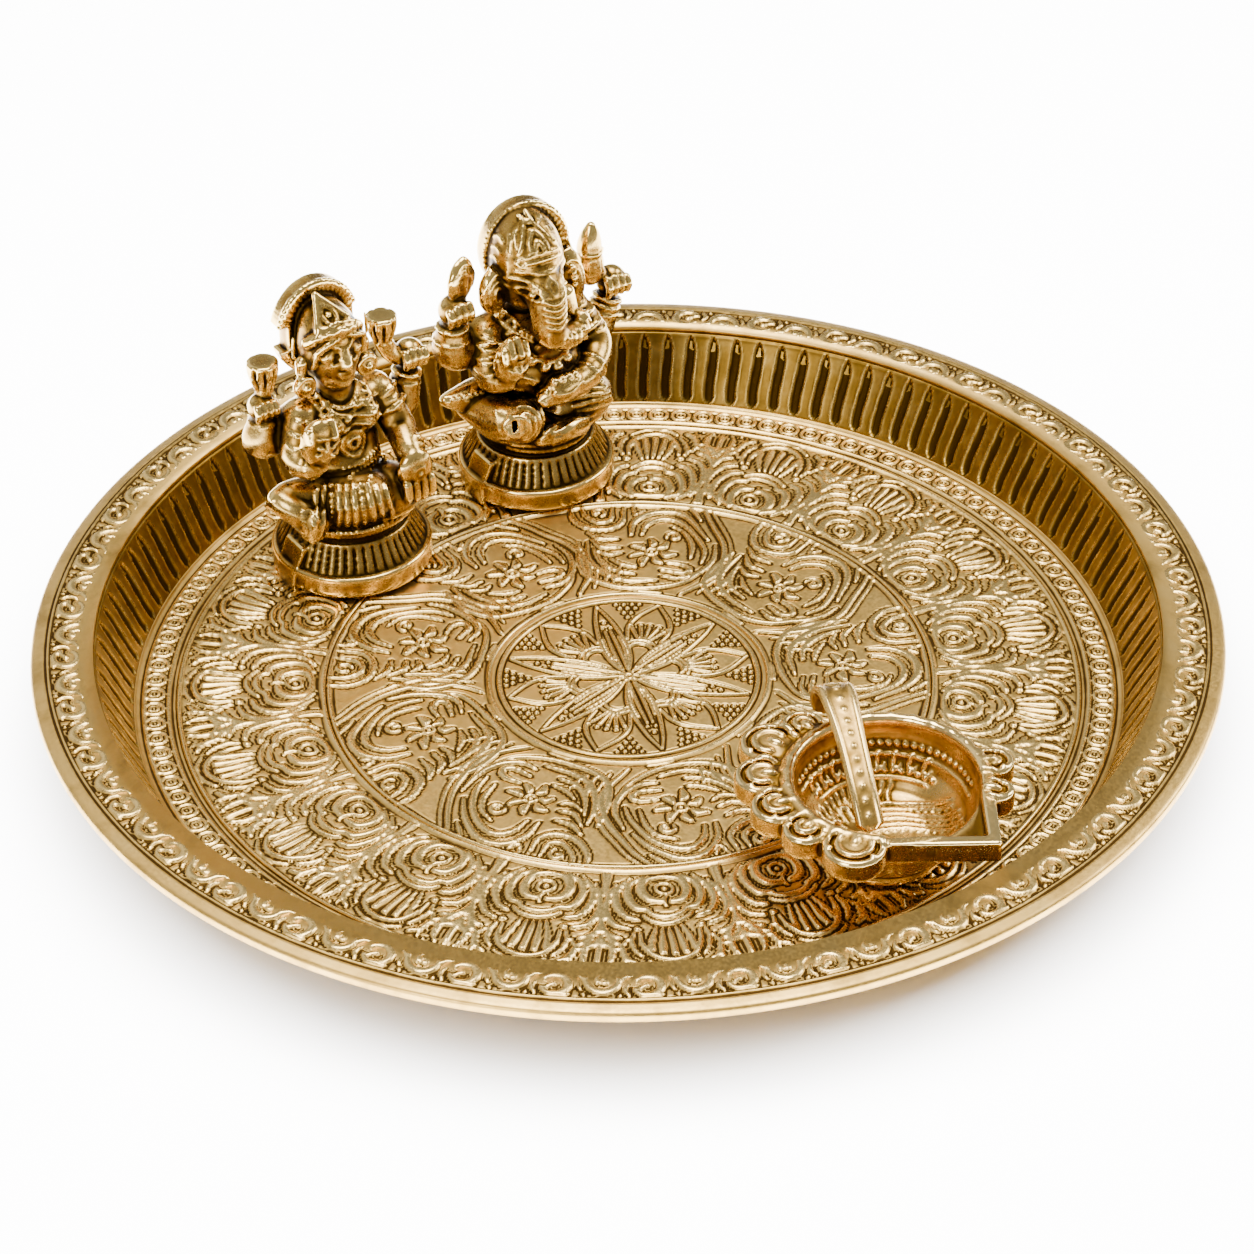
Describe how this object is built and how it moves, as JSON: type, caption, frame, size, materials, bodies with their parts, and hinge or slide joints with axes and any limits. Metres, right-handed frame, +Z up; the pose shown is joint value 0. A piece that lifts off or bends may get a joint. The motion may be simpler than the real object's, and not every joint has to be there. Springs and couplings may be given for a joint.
{
  "type": "brass prayer tray set",
  "caption": "Round engraved brass tray with a raised rim, two seated cast figures and a leaf-shaped oil lamp fixed to its floor.",
  "frame": {"origin": "middle of the tray, on the surface that its heel stands on", "axes": "+Z up; +Y from the oil lamp's side towards the two figures, which face -Y; +X to the right of someone who faces the figures"},
  "size_m": [0.254, 0.254, 0.0753],
  "materials": {
    "engraved_brass": "engraved, antiqued in the recesses and polished on the high lines",
    "cast_brass": "cast, chased, antiqued dark in the recesses",
    "lamp_brass": "cast, polished rim and warm bowl",
    "screw_brass": "turned, plain"
  },
  "bodies": {
    "root": {"tray": "engraved_brass", "goddess_figure": "cast_brass", "elephant_headed_figure": "cast_brass", "oil_lamp": "lamp_brass", "lamp_strap_handle": "lamp_brass", "goddess_screw": "screw_brass", "goddess_washer": "screw_brass", "goddess_spacer": "screw_brass", "elephant_headed_screw": "screw_brass", "elephant_headed_washer": "screw_brass", "elephant_headed_spacer": "screw_brass", "oil_lamp_screw": "screw_brass", "oil_lamp_washer": "screw_brass", "oil_lamp_spacer": "screw_brass"}
  },
  "joints": []
}
